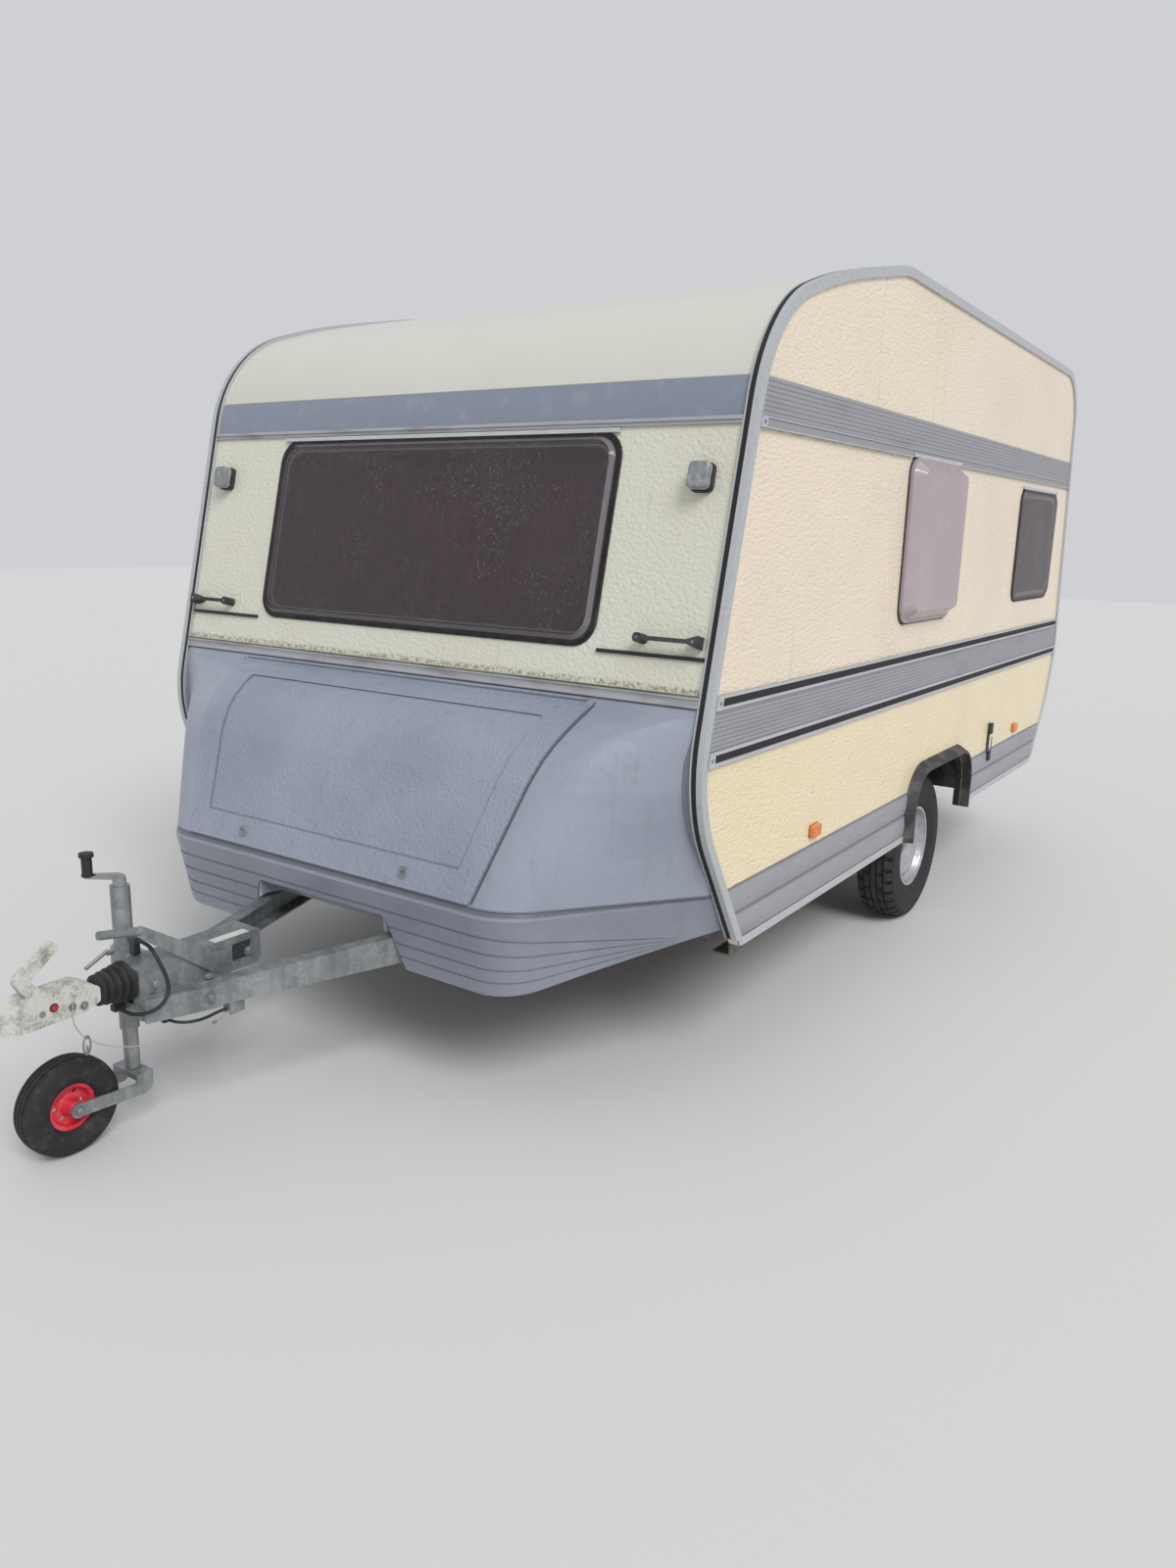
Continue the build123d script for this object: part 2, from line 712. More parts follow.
def lid_outline(grow=0.0):
    return outline([(-lid_bottom_half_width - grow, lid_bottom_z - grow, 12),
                    (-lid_top_half_width - grow, lid_top_z + grow, 12),
                    (lid_top_half_width + grow, lid_top_z + grow, 12),
                    (lid_bottom_half_width + grow, lid_bottom_z - grow, 12)])


nose_hollow = moulded(nose_sections, -nose_wall)
nose_hollow -= block(both_sides, all_y, (0, nose_seam_z + nose_wall))
nose_hollow -= block(both_sides, all_y, (nose_flange_z, roof_z))
nose_moulding = moulded(nose_sections, 0) - nose_hollow - body_cut
nose_moulding -= through_front(lid_outline(-lid_lap))
save("nose_moulding", nose_moulding)

# The lid: a skin over the moulding with a raised border, two locks and a hinge barrel along its top
lid = within(moulded(nose_sections, seat_gap + lid_frame_thickness) - moulded(nose_sections, seat_gap),
             through_front(lid_outline()))
panel_bottom_x, panel_bottom_z = lid_panel_bottom
panel_top_x, panel_top_z = lid_panel_top
lid_panel = through_front(outline([(-panel_bottom_x, panel_bottom_z, 10), (-panel_top_x, panel_top_z, 10),
                                   (panel_top_x, panel_top_z, 10), (panel_bottom_x, panel_bottom_z, 10)]))
lid_core = moulded(nose_sections, seat_gap + lid_thickness)
lid -= lid_panel - lid_core
lid -= block(both_sides, all_y, (lid_top_z - 15, roof_z)) - lid_core
lid -= across(side_outline(seat_gap + 5), both_sides)
barrel_half = lid_top_half_width - 20
lid += rod((-barrel_half, lid_hinge_y, lid_hinge_z), (barrel_half, lid_hinge_y, lid_hinge_z), lid_hinge_radius)
(low_y, low_z), (high_y, high_z) = [section[:2] for section in nose_sections[:2]]
lock_y = low_y + (high_y - low_y) * (lid_lock_z - low_z) / (high_z - low_z) - seat_gap - lid_thickness
lock_out = facing(nose_sections, 0)
for side in (1, -1):
    lock_start = (side * lid_lock_x, lock_y, lid_lock_z)
    lock_end = (side * lid_lock_x, lock_y + 9 * lock_out[0], lid_lock_z + 9 * lock_out[1])
    lid += rod(lock_start, lock_end, lid_lock_radius)
save("locker_lid", lid)


# The skirt: grooves and lower edge lie in planes that fan out from one line near the side
def fan_height(front_z, y):
    return fan_z + (front_z - fan_z) * (y - fan_y) / (skirt_corner_y - fan_y)


skirt_hollow = moulded(skirt_sections, -nose_wall) - block(both_sides, all_y, (nose_seam_z - nose_wall, roof_z))
skirt = moulded(skirt_sections, 0) - skirt_hollow - body_cut
skirt_core = moulded(skirt_sections, -skirt_groove_depth)
for front_z in skirt_grooves_z:
    low_z, high_z = front_z - skirt_groove_half, front_z + skirt_groove_half
    wedge = make_face(Polyline(
        (groove_end_y, fan_height(low_z, groove_end_y)), (groove_end_y, fan_height(high_z, groove_end_y)),
        (all_y[0], fan_height(high_z, all_y[0])), (all_y[0], fan_height(low_z, all_y[0])), close=True))
    skirt -= across(wedge, wide) - skirt_core
below_edge = make_face(Polyline(
    (all_y[0], fan_height(skirt_bottom_front_z, all_y[0])), (all_y[1], fan_height(skirt_bottom_front_z, all_y[1])),
    (all_y[1], 0), (all_y[0], 0), close=True))
skirt -= across(below_edge, wide)
cutout_low_z = skirt_bottom_front_z - 20
skirt -= through_front(outline([(-cutout_bottom_half_width, cutout_low_z, 0),
                                (-cutout_top_half_width, cutout_top_z, cutout_radius),
                                (cutout_top_half_width, cutout_top_z, cutout_radius),
                                (cutout_bottom_half_width, cutout_low_z, 0)]))
recess_x = cutout_top_half_width - nose_wall
recess_front_y = skirt_sections[2][0] + nose_wall
recess_high_z = cutout_top_z + nose_wall
recess_end = [(recess_rear_y, recess_rear_z), (recess_rear_y, recess_rear_z + nose_wall)]
recess = across(make_face(Polyline((recess_front_y, recess_high_z), (recess_front_y, cutout_top_z - 2), *recess_end,
                                   close=True)), (-recess_x, recess_x))
cheek = across(make_face(Polyline((recess_front_y - 1, recess_high_z), (recess_front_y + 3, recess_rear_z + 8),
                                  *recess_end, close=True)), (recess_x - 1, recess_x + nose_wall - 1))
skirt += recess + cheek + mirrored(cheek)
save("nose_skirt", skirt)


# Chassis: the drawbar's two channel beams, the side members, the cross members and outriggers
beam_slope = (drawbar_nose_x - drawbar_front_x) / (drawbar_nose_y - drawbar_front_y)
beam_rise = (beam_nose_height - beam_front_height) / (drawbar_nose_y - drawbar_front_y)


def beam_x(y):
    # the inner face of the left beam
    return drawbar_front_x + beam_slope * (y - drawbar_front_y)


def beam_top_z(y):
    # the drawbar's top edge between its front end and the nose
    return beam_bottom_z + beam_front_height + beam_rise * (y - drawbar_front_y)


drawbar_rear_y = drawbar_front_y + (drawbar_rear_x - drawbar_front_x) / beam_slope
under_floor_z = floor_bottom_z - seat_gap
beam_high_z = under_floor_z - beam_floor_drop
beam_side = make_face(Polyline(
    (drawbar_front_y, beam_bottom_z), (drawbar_front_y, beam_top_z(drawbar_front_y)),
    (drawbar_nose_y, beam_top_z(drawbar_nose_y)), (0, beam_high_z), (drawbar_rear_y, beam_high_z),
    (drawbar_rear_y, beam_bottom_z), close=True))


def beam_plan(inner, outer, overrun):
    # the left beam in plan, between two offsets from its inner face, longer at both ends by overrun
    front_y, rear_y = drawbar_front_y - overrun, drawbar_rear_y + overrun
    return make_face(Polyline((beam_x(front_y) + inner, front_y), (beam_x(rear_y) + inner, rear_y),
                              (beam_x(rear_y) + outer, rear_y), (beam_x(front_y) + outer, front_y), close=True))


beam = across(beam_side, (0, half_width)) & upwards(beam_plan(0, beam_width, 0), (0, 1000))
beam -= (across(grown(beam_side, -beam_wall), (0, half_width))
         & upwards(beam_plan(-beam_width, beam_width - beam_wall, 0), (0, 1000)))
beam_space = (across(grown(beam_side, seat_gap), (0, half_width))
              & upwards(beam_plan(-seat_gap, beam_width + seat_gap, seat_gap), (0, 1000)))
save("drawbar_left", beam)
save("drawbar_right", mirrored(beam))

member_x = (drawbar_rear_x, drawbar_rear_x + beam_width)
member = block(member_x, (drawbar_rear_y + seat_gap, side_member_rear_y), (beam_bottom_z, under_floor_z))
member -= block((member_x[0] - 10, member_x[1] - beam_wall), (drawbar_rear_y - 10, side_member_rear_y + 10),
                (beam_bottom_z + beam_wall, under_floor_z - beam_wall))
axle_reach = axle_size / 2 + seat_gap
member -= block((member_x[0] - 10, member_x[1] + 10), (axle_y - axle_reach, axle_y + axle_reach),
                (0, axle_z + axle_reach))
save("side_member_left", member)
save("side_member_right", mirrored(member))

outrigger_z = (under_floor_z - outrigger_size, under_floor_z)
lug_gap = 6.0
lug_thickness = 6.0
lug_x = [(steady_x - steady_width / 2 - lug_gap - lug_thickness, steady_x - steady_width / 2 - lug_gap),
         (steady_x + steady_width / 2 + lug_gap, steady_x + steady_width / 2 + lug_gap + lug_thickness)]
pivot_z = outrigger_z[0] - steady_pivot_drop
steady_pivots = {"front": steady_outrigger_front_y, "rear": steady_outrigger_rear_y}
cross_members = []
for y in steady_pivots.values():
    y_range = (y - outrigger_size / 2, y + outrigger_size / 2)
    arm = block((member_x[1] + seat_gap, outrigger_half_width), y_range, outrigger_z)
    for lug in lug_x:
        arm += block(lug, (y - 20, y + 20), (pivot_z - 16, outrigger_z[0] + 2))
    arm += rod((lug_x[0][0], y, pivot_z), (lug_x[1][1], y, pivot_z), steady_pin_radius)
    arm -= beam_space
    middle = block((0, member_x[0] - seat_gap), y_range, outrigger_z) - beam_space
    middle += mirrored(middle)
    cross_members += [arm, mirrored(arm), middle]
front_range = (front_outrigger_y - outrigger_size / 2, front_outrigger_y + outrigger_size / 2)
front_arm = block((0, corner_bracket_x[1]), front_range, outrigger_z)
bracket = block(corner_bracket_x, corner_bracket_y, (corner_bracket_bottom_z, under_floor_z))
bracket -= block((corner_bracket_x[0] - 10, corner_bracket_x[1] - beam_wall),
                 (corner_bracket_y[0] - 10, corner_bracket_y[1] + 10),
                 (corner_bracket_bottom_z + beam_wall, under_floor_z - beam_wall))
inside_beams = block((-10, beam_x(front_outrigger_y) + beam_width / 2), front_range, outrigger_z)
front_outer = front_arm - inside_beams + bracket - beam_space
front_middle = (front_arm & inside_beams) - beam_space
front_middle += mirrored(front_middle)
cross_members += [front_outer, mirrored(front_outer), front_middle]
save("cross_members", Compound(cross_members))

# Axle tube, swing arms with stub axles
axle_tube = block((-axle_half, axle_half), (axle_y - axle_size / 2, axle_y + axle_size / 2),
                  (axle_z - axle_size / 2, axle_z + axle_size / 2))
axle_bore = axle_size / 2 - axle_wall
axle_tube -= block((-axle_half - 10, axle_half + 10), (axle_y - axle_bore, axle_y + axle_bore),
                   (axle_z - axle_bore, axle_z + axle_bore))
save("axle_tube", axle_tube)
arm_x = (axle_half + seat_gap, axle_half + seat_gap + arm_thickness)
arm_length = hypot(wheel_y - axle_y, wheel_radius - axle_z)
arm_tilt = degrees(atan2(wheel_radius - axle_z, wheel_y - axle_y))
arm_sketch = (Pos((wheel_y + axle_y) / 2, (wheel_radius + axle_z) / 2) * Rot(0, 0, arm_tilt)
              * SlotCenterToCenter(arm_length, arm_width))
swing_arm = across(arm_sketch, arm_x)
hub_face = 2.0
stub_end_x = tyre_centre_x + hub_face + 10
swing_arm += rod((arm_x[1] - 2, wheel_y, wheel_radius), (stub_end_x, wheel_y, wheel_radius), stub_radius)
save("swing_arms", Compound([swing_arm, mirrored(swing_arm)]))


# Road wheels: tyre, and steel rim with its drum, built about the wheel's own axis and then placed
def spun(corners):
    # a closed section of (axial, radial, corner radius) turned about the wheel's axis
    return revolve(outline(corners), axis=Axis.X)


tyre_half = tyre_width / 2
rim_half = rim_width / 2
tyre_side = [(rim_half - 4, rim_radius + 1, 0), (tyre_half - 6, rim_radius + 14, 14),
             (tyre_half, rim_radius + 62, 55), (tyre_half - 12, wheel_radius - 8, 20),
             (tyre_half - 36, wheel_radius, 40)]
tyre = spun([(-a, b, r) for a, b, r in tyre_side] + [(a, b, r) for a, b, r in reversed(tyre_side)])
# The rim, from its inner flange over the barrel and the deep disc to the hub, and back inside the disc
sheet = 5.0
rim = spun([
    (-rim_half, rim_radius, 0), (-rim_half, rim_radius - 10, 3), (-20, rim_radius - 20, 10),
    (22, rim_radius - 25, 8), (34, 120, 12), (26, 98, 8), (hub_face - sheet, 64, 10),
    (hub_face - sheet, stub_radius + running_gap, 0), (hub_face, stub_radius + running_gap, 0),
    (hub_face, 62, 10), (30, 94, 8), (40, 120, 14), (30, rim_radius - 26, 8), (44, rim_radius - 18, 8),
    (rim_half - 8, rim_radius - 12, 4), (rim_half, rim_radius - 10, 3), (rim_half, rim_radius, 0)])
slot = rod((10, 134, 0), (60, 134, 0), rim_slot_radius)
for index in range(rim_slots):
    rim -= Rot(index * 360 / rim_slots, 0, 0) * slot
drum_back = arm_x[1] + 12 - tyre_centre_x
drum_front = drum_back + drum_width
bore = stub_radius + running_gap
rim += spun([(drum_back, bore, 0), (drum_back, drum_radius, 6), (drum_front, drum_radius, 6), (drum_front, 50, 6),
             (hub_face - sheet + 1, 50, 0), (hub_face - sheet + 1, bore, 0)])
cap_seat = stub_end_x - tyre_centre_x + 3
rim += spun([(hub_face - 1, bore, 0), (hub_face - 1, 34, 4), (hub_face + 8, 31, 3), (hub_face + 12, 27, 3),
             (cap_seat + 14, 24, 8), (cap_seat + 16, 0, 0), (cap_seat, 0, 0), (cap_seat, bore, 0)])
for side, name in ((1, "left"), (-1, "right")):
    to_wheel = Pos(side * tyre_centre_x, wheel_y, wheel_radius)
    save(f"tyre_{name}", to_wheel * (tyre if side == 1 else mirrored(tyre)))
    save(f"rim_{name}", to_wheel * (rim if side == 1 else mirrored(rim)))

# Coupling head: a pressed steel box with a rounded nose over the ball, a handle on top and a cross pin
tip_y, rear_y = coupling_tip_y, coupling_rear_y
head = across(outline([
    (tip_y, coupling_bottom_z + 2, 6), (tip_y, coupling_bottom_z + 42, 20), (tip_y + 38, coupling_top_z - 2, 26),
    (rear_y - 44, coupling_top_z, 10), (rear_y, coupling_top_z - 26, 12), (rear_y, coupling_bottom_z + 16, 12),
    (rear_y - 42, coupling_bottom_z, 10)]), (-60, 60))
ball_y = tip_y + ball_offset
cup_radius = ball_radius + 8
head &= upwards(outline([
    (-cup_radius - 1, tip_y, 30), (cup_radius + 1, tip_y, 30), (cup_radius + 1, ball_y + 25, 10),
    (coupling_half_width, ball_y + 60, 10), (coupling_half_width, rear_y, 0), (-coupling_half_width, rear_y, 0),
    (-coupling_half_width, ball_y + 60, 10), (-cup_radius - 1, ball_y + 25, 10)]), (0, 1000))
inner_half = coupling_half_width - coupling_wall
head -= block((-inner_half, inner_half), (ball_y + cup_radius + 4, rear_y - draw_tube_grip),
              (0, coupling_top_z - 2 * coupling_wall))
head -= rod((0, rear_y - draw_tube_grip - 5, coupling_z), (0, rear_y + 5, coupling_z), draw_tube_radius + seat_gap)
head -= rod((0, ball_y, 0), (0, ball_y, coupling_bottom_z + ball_socket_length), ball_radius)
for side in (1, -1):
    head -= rod((side * (inner_half + 1), rear_y - 14, 458), (side * 60, rear_y - 14, 458), 6)
    head += rod((side * inner_half, rear_y - 47, 458), (side * (coupling_half_width + 5), rear_y - 47, 458), 10)
eye_y, eye_z = rear_y - 70, coupling_top_z - 15
head += rod((inner_half, eye_y, eye_z), (coupling_half_width + 9, eye_y, eye_z), 6)
head += across(outline([
    (tip_y + 62, coupling_top_z - 4, 0), (tip_y + 36, coupling_top_z + 42, 16),
    (tip_y + 134, coupling_top_z + 118, 10), (tip_y + 154, coupling_top_z + 98, 10),
    (tip_y + 72, coupling_top_z + 34, 8), (tip_y + 116, coupling_top_z - 4, 6)]),
    (-handle_half_width, handle_half_width))
save("coupling_head", head)

# Bellows: folds that widen towards the housing, drawn as (radius, y) about the draw tube's axis
bellows_y = (coupling_rear_y + seat_gap, drawbar_front_y - seat_gap)
fold_pitch = (bellows_y[1] - bellows_y[0]) / bellows_folds
tube_clear = draw_tube_radius + seat_gap
bellows_points = [(tube_clear, bellows_y[0])]
for index in range(bellows_folds):
    start = bellows_y[0] + index * fold_pitch
    crest = bellows_front_radius + (bellows_rear_radius - bellows_front_radius) * (index + 0.5) / bellows_folds
    bellows_points += [(crest - bellows_fold_depth, start), (crest, start + 0.3 * fold_pitch),
                       (crest, start + 0.7 * fold_pitch)]
bellows_points += [(bellows_rear_radius - bellows_fold_depth, bellows_y[1]), (tube_clear, bellows_y[1])]
bellows = Pos(0, 0, coupling_z) * revolve(make_face(Polyline(*bellows_points, close=True)), axis=Axis.Y)

# Overrun housing: an upturned channel over the beams, on a gusset plate, with a plate outside each beam
housing = across(outline([
    (drawbar_front_y, housing_bottom_z + 18, 0), (drawbar_front_y, housing_top_z, 8),
    (housing_rear_y, housing_top_z + 2, 4), (housing_rear_y, housing_bottom_z, 20),
    (gusset_rear_y, housing_bottom_z, 0)]), (-housing_half_width, housing_half_width))
hollow_x = housing_half_width - housing_wall
housing -= block((-hollow_x, hollow_x), (drawbar_front_y + 3 * housing_wall, housing_rear_y + 10),
                 (0, housing_top_z - housing_wall))
housing += rod((0, coupling_rear_y - draw_tube_grip, coupling_z), (0, drawbar_front_y + 20, coupling_z),
               draw_tube_radius)


def on_beams(y, up):
    return (y, beam_top_z(y) + seat_gap + up)


gusset_side = make_face(Polyline(
    on_beams(drawbar_front_y, 0), on_beams(gusset_rear_y, 0), on_beams(gusset_rear_y, gusset_thickness),
    on_beams(drawbar_front_y, gusset_thickness), close=True))
gusset_front_x = beam_x(drawbar_front_y) + gusset_reach
gusset_rear_x = beam_x(gusset_rear_y) + gusset_reach
gusset_plan = make_face(Polyline(
    (-gusset_front_x, drawbar_front_y), (gusset_front_x, drawbar_front_y),
    (gusset_rear_x, gusset_rear_y), (-gusset_rear_x, gusset_rear_y), close=True))
housing += across(gusset_side, (-half_width, half_width)) & upwards(gusset_plan, (0, 1000))
housing -= beam_space + mirrored(beam_space)
plate_low = beam_width + seat_gap
side_plate = upwards(beam_plan(plate_low, plate_low + side_plate_thickness, 0),
                     (beam_bottom_z - 4, beam_bottom_z + 58))
side_plate &= block((0, half_width), (drawbar_front_y, side_plate_rear_y), (0, 1000))
end_plate = block((-58, 58), (drawbar_front_y - side_plate_thickness - seat_gap, drawbar_front_y - seat_gap),
                  (beam_bottom_z + 2, beam_bottom_z + 38))
brake_bracket = block((104, 134), (-1130, -1084), (beam_bottom_z - 35, beam_bottom_z - seat_gap))
brake_bracket -= block((110, 128), (-1140, -1090), (beam_bottom_z - 40, beam_bottom_z - 22))
save("overrun_housing", Compound([housing, side_plate, mirrored(side_plate), end_plate, brake_bracket]))

# Handbrake lever beside the housing: a tapering plate with a round grip
lever_x = (housing_half_width + seat_gap, housing_half_width + seat_gap + lever_thickness)
lever = across(outline([
    (-1060, 415, 10), (-1060, 486, 10), (-1109, 488, 30), (-1196, 540, 0), (-1322, 621, 10), (-1342, 608, 8),
    (-1337, 597, 6), (-1227, 513, 0), (-1127, 437, 0), (-1110, 415, 8)]), lever_x)
lever -= beam_space
grip_x = (lever_x[0] + lever_x[1]) / 2
lever += rod((grip_x, -1326, 608), (grip_x, -1436, 628), lever_grip_radius)
save("handbrake_lever", lever)


# Cords: each tube is straight runs joined by the largest tangent arcs
def cord_tube(name, points, diameter):
    runs = [Vector(*end) - Vector(*start) for start, end in zip(points, points[1:])]
    radii = []
    for before, after in zip(runs, runs[1:]):
        half_turn = radians(before.get_angle(after)) / 2
        radii.append(0.45 * min(before.length, after.length) / tan(half_turn))
    path = FilletPolyline(*points, radius=radii)
    tube = sweep(Plane(origin=points[0], z_dir=runs[0]) * Circle(diameter / 2), path=path)
    section = Circle(diameter / 2).area
    print(name, "length", round(path.length), "radii", [round(radius) for radius in radii],
          "volume share", round(tube.volume / (section * path.length), 4))
    return tube


# The black cable from its holder on the housing, over the near edge and round below the bellows
electric_route = [(-32, -1276, 548), (4, -1276, 548), (40, -1283, 540), (72, -1286, 514), (94, -1283, 478),
                  (104, -1288, 441), (101, -1313, 413), (80, -1341, 400), (51, -1357, 395), (23, -1361, 398),
                  (-4, -1361, 398)]
electric_diameter = 10.0
save("electric_cable", cord_tube("electric_cable", electric_route, electric_diameter))
start_x, start_y, start_z = electric_route[0]
holder = rod((start_x - 30, start_y, start_z), (start_x, start_y, start_z), 12)
holder += block((start_x - 25, start_x - 5), (start_y - 9, start_y + 9), (housing_top_z + 2.5, start_z))
end_x, end_y, end_z = electric_route[-1]
clip = block((end_x - 20, end_x), (end_y - 9, drawbar_front_y - side_plate_thickness - 2 * seat_gap),
             (end_z - 8, end_z + 8))
# The black lead that hangs below the near beam, from a clip to the brake's bracket, held at both ends
lead_route = [(70, -1274, 358), (91, -1274, 358), (109, -1265, 357), (120, -1248, 354.5), (124, -1222, 351),
              (123, -1192, 349), (119, -1161, 350), (119, -1130, 350)]
lead_diameter = 8.0
save("brake_lead", cord_tube("brake_lead", lead_route, lead_diameter))
start_x, start_y, start_z = lead_route[0]
lead_clip = block((start_x - 12, start_x), (start_y - 10, start_y + 10), (start_z - 8, beam_bottom_z - seat_gap))
save("cable_clips", Compound([holder, clip, lead_clip]))
save("bellows", bellows)

# The thin breakaway cable from the coupling's eye to the brake's bracket, with its snap hook and crimp
breakaway_route = [(37, -1496, 493.7), (38, -1503, 466), (40, -1508, 438), (46, -1503, 408), (58, -1487, 382),
                   (74, -1458, 360), (95, -1420, 346), (117, -1372, 337), (134, -1318, 332.5), (143, -1262, 332),
                   (143, -1208, 335), (138, -1165, 339), (130, -1130.3, 342.5)]
breakaway_diameter = 3.0
breakaway = cord_tube("breakaway_cable", breakaway_route, breakaway_diameter)
hook_plane = Plane(origin=(58, -1487, 366), x_dir=(0, 0, 1), z_dir=(0.54, 0.84, 0))
snap_hook = extrude(hook_plane * (SlotOverall(52, 26) - SlotOverall(42, 16)), amount=2.5, both=True)
crimp_start, crimp_end = [tuple(Vector(*breakaway_route[10]) * share + Vector(*breakaway_route[11]) * (1 - share))
                          for share in (0.64, 0.36)]
crimp = rod(crimp_start, crimp_end, 4) - rod(crimp_start, crimp_end, breakaway_diameter / 2 + 0.4)
save("breakaway_cable", Compound([breakaway, snap_hook, crimp]))

# Jockey wheel: clamp, outer tube, crank, inner tube, fork, tyre and rim
clamp_middle_z = (clamp_z[0] + clamp_z[1]) / 2
clamp_height = clamp_z[1] - clamp_z[0]
clamp_radius = jockey_outer_radius + clamp_wall
clamp = Pos(jockey_x, jockey_y, clamp_middle_z) * Cylinder(clamp_radius, clamp_height)
clamp += block((jockey_x, -housing_half_width - seat_gap), (jockey_y - 20, jockey_y + 26),
               (clamp_z[0], clamp_z[1] - 8))
clamp -= rod((jockey_x, jockey_y, 0), (jockey_x, jockey_y, 1000), jockey_outer_radius + seat_gap)
knob_y = jockey_y - clamp_radius
clamp += rod((jockey_x, knob_y + 5, clamp_middle_z + 18), (jockey_x, knob_y - 16, clamp_middle_z + 18), 7)
clamp += rod((jockey_x, knob_y - 12, clamp_middle_z + 25), (jockey_x - 4, knob_y - 76, clamp_middle_z - 8), 5)
save("jockey_clamp", clamp)

outer_low, outer_high = jockey_outer_z
outer_tube = rod((jockey_x, jockey_y, outer_low), (jockey_x, jockey_y, outer_high), jockey_outer_radius)
outer_tube -= rod((jockey_x, jockey_y, outer_low - 5), (jockey_x, jockey_y, outer_high - 8),
                  jockey_inner_radius + running_gap)
save("jockey_outer_tube", outer_tube)

crank_reach = 86.0
grip_bottom_z = outer_high + 45
crank = rod((jockey_x, jockey_y, outer_high + seat_gap), (jockey_x, jockey_y, outer_high + 22), 17)
grip_y = jockey_y - crank_reach
crank += across(outline([(jockey_y + 12, outer_high + 12, 4), (jockey_y + 12, outer_high + 30, 8),
                         (grip_y - 12, outer_high + 54, 4), (grip_y - 12, outer_high + 42, 4)]),
                (jockey_x - 9, jockey_x + 9))
crank += rod((jockey_x, grip_y, grip_bottom_z), (jockey_x, grip_y, outer_high + 96), 13)
crank += rod((jockey_x, grip_y, outer_high + 96), (jockey_x, grip_y, outer_high + 106), 18)
save("jockey_crank", crank)

inner_low, inner_high = jockey_inner_z
pin_depth = 50.0
inner_tube = rod((jockey_x, jockey_y, inner_low), (jockey_x, jockey_y, inner_high), jockey_inner_radius)
inner_tube -= rod((jockey_x, jockey_y, inner_low - 5), (jockey_x, jockey_y, inner_low + pin_depth),
                  jockey_pin_radius + running_gap)
inner_tube -= rod((jockey_x, jockey_y, inner_low + pin_depth + 10), (jockey_x, jockey_y, inner_high + 5),
                  jockey_inner_radius - jockey_tube_wall)
save("jockey_inner_tube", inner_tube)

hub_y = jockey_y - jockey_trail
hub_z = jockey_tyre_radius
fork_half = jockey_tyre_width / 2 + fork_side_gap
crown_front_y, crown_rear_y = jockey_y - 24, jockey_y + 24
crown_top_z = inner_low - 2
crown_z = (crown_top_z - 16, crown_top_z)
fork_outer = fork_half + fork_plate
fork = block((jockey_x - fork_outer, jockey_x + fork_outer), (crown_front_y, crown_rear_y), crown_z)
for side in (1, -1):
    plate_x = sorted((jockey_x + side * fork_half, jockey_x + side * fork_outer))
    fork += across(outline([
        (hub_y, hub_z - 18, 0), (hub_y, hub_z + 18, 0), (crown_front_y, hub_z + 4, 6),
        (crown_front_y, crown_top_z, 0),
        (crown_rear_y, crown_top_z, 4), (crown_rear_y, hub_z - 22, 18), (jockey_y, hub_z - 32, 20)]), plate_x)
    fork += rod((plate_x[0], hub_y, hub_z), (plate_x[1], hub_y, hub_z), 20)
fork += rod((jockey_x - fork_half - 2, hub_y, hub_z), (jockey_x + fork_half + 2, hub_y, hub_z),
            jockey_spindle_radius)
fork += rod((jockey_x, jockey_y, crown_z[0]), (jockey_x, jockey_y, inner_low + pin_depth - 4), jockey_pin_radius)
save("jockey_fork", fork)

jockey_half = jockey_tyre_width / 2
tread_half = jockey_half - 20
bead_radius = jockey_rim_radius + seat_gap
jockey_side = [(22, bead_radius, 0), (jockey_half, jockey_rim_radius + 20, 14),
               (jockey_half, jockey_tyre_radius - 26, 14), (tread_half, jockey_tyre_radius, 18)]
jockey_tyre = spun([(-a, b, r) for a, b, r in jockey_side] + [(a, b, r) for a, b, r in reversed(jockey_side)])
to_hub = Pos(jockey_x, hub_y, hub_z)
save("jockey_tyre", to_hub * jockey_tyre)
hub_half = fork_half - 4
spindle_bore = jockey_spindle_radius + running_gap
rim_side = [(22, jockey_rim_radius, 0), (22, jockey_rim_radius - 10, 4), (6, jockey_rim_radius - 14, 4), (6, 26, 6),
            (hub_half, 20, 3), (hub_half, spindle_bore, 0)]
jockey_rim = spun([(-a, b, r) for a, b, r in rim_side] + [(a, b, r) for a, b, r in reversed(rim_side)])
for index in range(6):
    jockey_rim -= Rot(index * 60, 0, 0) * rod((-20, 37, 0), (20, 37, 0), 8)
save("jockey_rim", to_hub * jockey_rim)

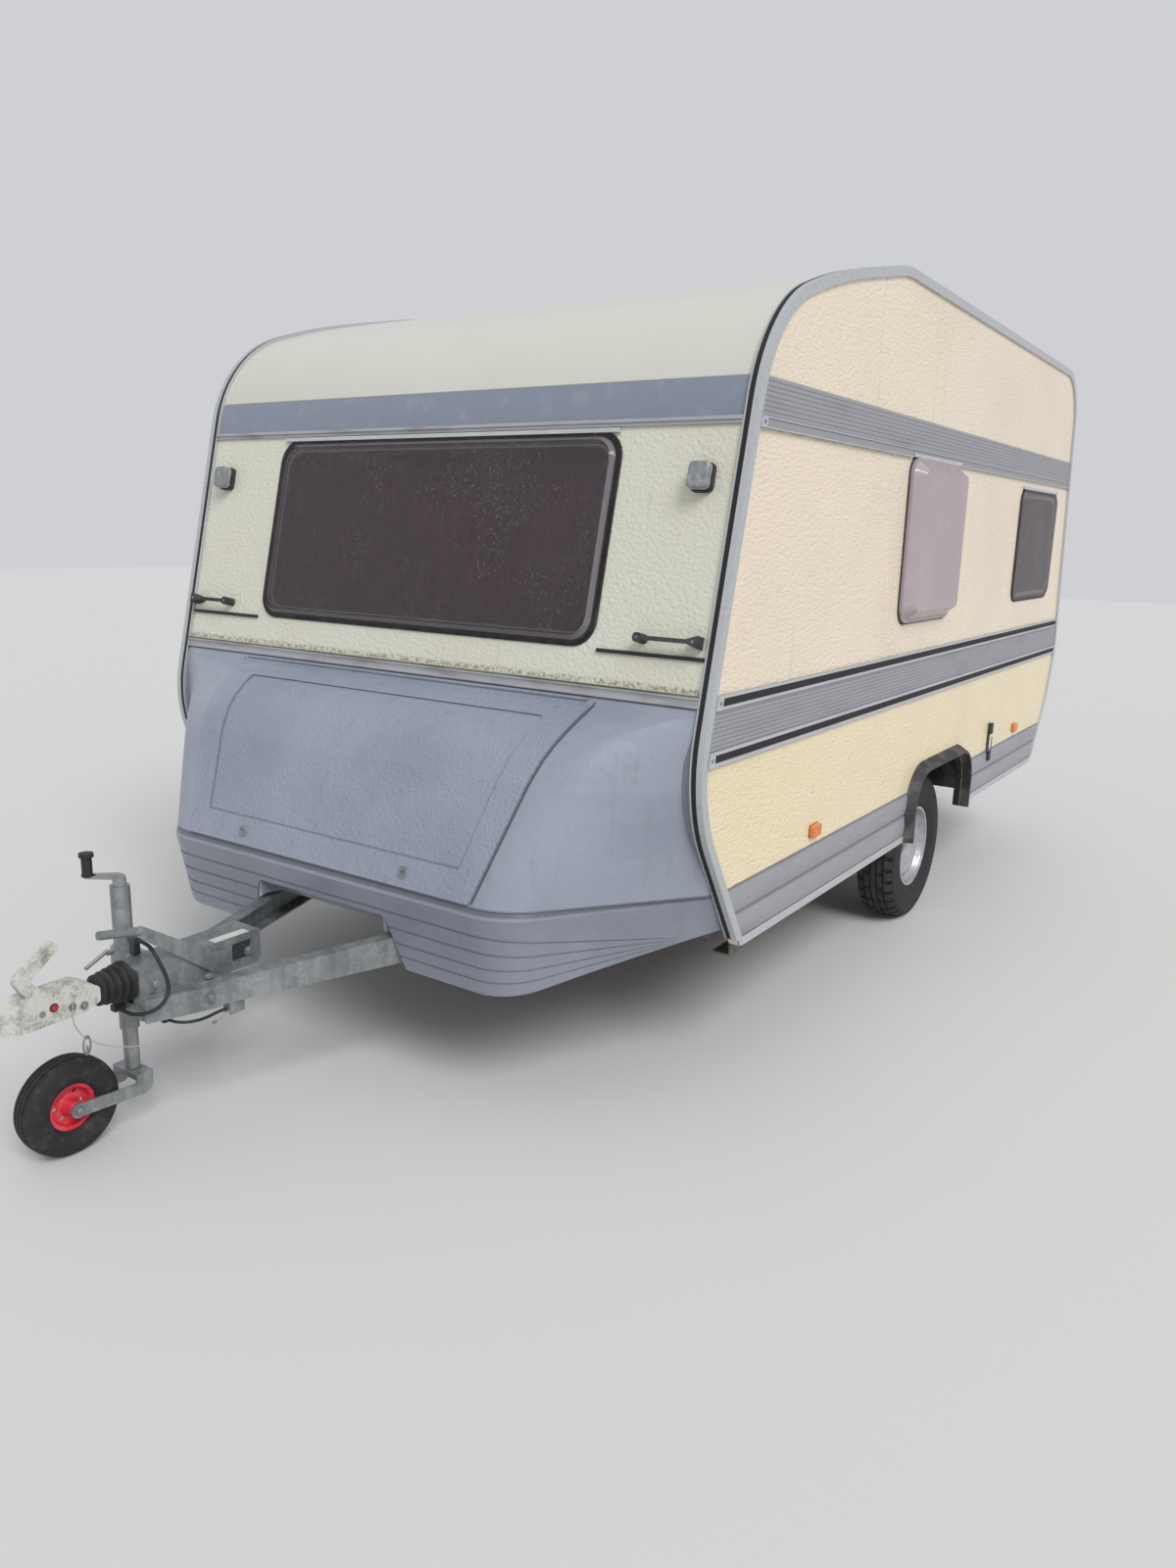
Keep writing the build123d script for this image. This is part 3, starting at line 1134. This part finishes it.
# Corner steadies: a channel with a foot, folded up flat beside the chassis
leg_z = (pivot_z - 14, pivot_z + 12)
leg_half = steady_width / 2
for row, direction in (("front", -1), ("rear", 1)):
    y = steady_pivots[row]
    y_range = sorted((y - direction * 14, y + direction * steady_length))
    leg = block((steady_x - leg_half, steady_x + leg_half), y_range, leg_z)
    leg -= block((steady_x - leg_half + steady_wall, steady_x + leg_half - steady_wall),
                 (y_range[0] - 5, y_range[1] + 5), (leg_z[0] + steady_wall, leg_z[1] + 5))
    foot_y = sorted((y + direction * (steady_length - 4), y + direction * (steady_length + 8)))
    leg += block((steady_x - steady_foot_half, steady_x + steady_foot_half), foot_y, (pivot_z - 30, leg_z[1] + 6))
    leg += rod((steady_x - leg_half, y, pivot_z), (steady_x + leg_half, y, pivot_z), steady_pin_radius + 4.5)
    leg -= rod((steady_x - steady_width, y, pivot_z), (steady_x + steady_width, y, pivot_z),
               steady_pin_radius + running_gap)
    save(f"steady_{row}_left", leg)
    save(f"steady_{row}_right", mirrored(leg))

# Lamps, markers, handles and the hook on the left skirt
position_lamps = []
handles = []
lamp_plane = front_plane(position_lamp["z"])
bar_plane = front_plane(handle_z)
handle_middle = (handle_x[0] + handle_x[1]) / 2
handle_length = handle_x[1] - handle_x[0]
handle_top = handle_stand_off + handle_bar
for side in (1, -1):
    lamp_face = RectangleRounded(position_lamp["width"], position_lamp["height"], 12)
    lamp = on_plane(lamp_plane, Pos(side * position_lamp["x"], 0) * lamp_face, seat_gap, position_lamp["proud"])
    position_lamps.append(fillet(lamp.faces().sort_by(Axis.Y)[0].edges(), 8))
    bar = on_plane(bar_plane, Pos(side * handle_middle, 0) * Rectangle(handle_length - 24, handle_bar),
                   handle_stand_off, handle_top)
    inner_foot = Pos(side * (handle_x[0] + 13), 0) * RectangleRounded(26, 26, 10)
    bar += on_plane(bar_plane, inner_foot, seat_gap, handle_top)
    foot_x = side * handle_x[1]
    flare_face = make_face(Polyline((foot_x, -17), (foot_x, 17), (foot_x - side * 34, handle_bar / 2),
                                    (foot_x - side * 34, -handle_bar / 2), close=True))
    bar += on_plane(bar_plane, flare_face, seat_gap, handle_top)
    handles.append(bar)
save("position_lamps", Compound(position_lamps))

markers = [on_plane(side_plane(y, marker_z, side), RectangleRounded(*marker_size, 8), seat_gap, 16)
           for y in marker_y for side in (1, -1)]
save("side_markers", Compound(markers))

lamp_face = RectangleRounded(rear_lamp["width"], rear_lamp["height"], 8)
rear_lamps = [on_plane(rear_lamp_plane, Pos(side * rear_lamp["x"], 0) * lamp_face, seat_gap, rear_lamp["proud"])
              for side in (1, -1)]
save("rear_lamps", Compound(rear_lamps))

hook_low, hook_high = hook_z
hook_range = (hook_y - 17, hook_y + 17)
hook = block((half_width + seat_gap, half_width + hook_proud), hook_range, hook_z)
hook -= block((half_width + 5, half_width + hook_proud + 5), (hook_range[0] - 10, hook_range[1] + 10),
              (hook_low + 45, hook_high - 50))
hook -= block((half_width - 10, half_width + wave_thickness + 2 * seat_gap), (hook_range[0] - 50, hook_range[1] + 50),
              (0, lower_waves_z[1] + seat_gap))
save("grab_handles", Compound([*handles, hook]))


# Roof fittings: a round vent, and the roof light's frame and lid
def roof_surface_z(y):
    return roof_z - roof_rear_drop * (y - peak_y) / (roof_rear_y - peak_y)


vent_foot = roof_surface_z(vent_y - vent_foot_radius) + seat_gap
vent = Pos(vent_x, vent_y, vent_foot + 12) * Cylinder(vent_foot_radius, 24)
vent_cap = Pos(vent_x, vent_y, vent_foot + 40) * Cylinder(vent_cap_radius, 32)
vent += fillet(vent_cap.faces().sort_by(Axis.Z)[-1].edges(), 12)

frame_half = light_half + roof_light_rim
roof_top = roof_surface_z(roof_light_y - frame_half)
frame_top = roof_top + roof_light_frame_height
light_frame = block((-frame_half, frame_half), (roof_light_y - frame_half, roof_light_y + frame_half),
                    (roof_top + seat_gap, frame_top))
bore_half = light_half - 8
light_frame -= block((-bore_half, bore_half), (roof_light_y - bore_half, roof_light_y + bore_half),
                     (roof_top - 50, roof_top + 50))
save("roof_fittings", Compound([vent, light_frame]))
lid_half = frame_half - 6
lid_top = roof_top + roof_light_lid_top
light_lid = block((-lid_half, lid_half), (roof_light_y - lid_half, roof_light_y + lid_half),
                  (frame_top + seat_gap, lid_top))
light_lid = fillet(light_lid.edges().group_by(Axis.Z)[-1], 24)
light_lid -= block((-lid_half + 6, lid_half - 6), (roof_light_y - lid_half + 6, roof_light_y + lid_half - 6),
                   (roof_top, lid_top - 20))
hatch_pin_y = roof_light_y - lid_half - 4
hatch_pin_z = frame_top + 6
light_lid += rod((-light_half, hatch_pin_y, hatch_pin_z), (light_half, hatch_pin_y, hatch_pin_z), 5)
save("roof_light_lid", light_lid)

print("body_shift", round(body_shift, 3))
print("hatch_pin", round(hatch_pin_y, 3), round(hatch_pin_z, 3), "door_pin", door_pin_x, door_pin_y)
print("pivot_z", round(pivot_z, 3), "hub", jockey_x, hub_y, hub_z)
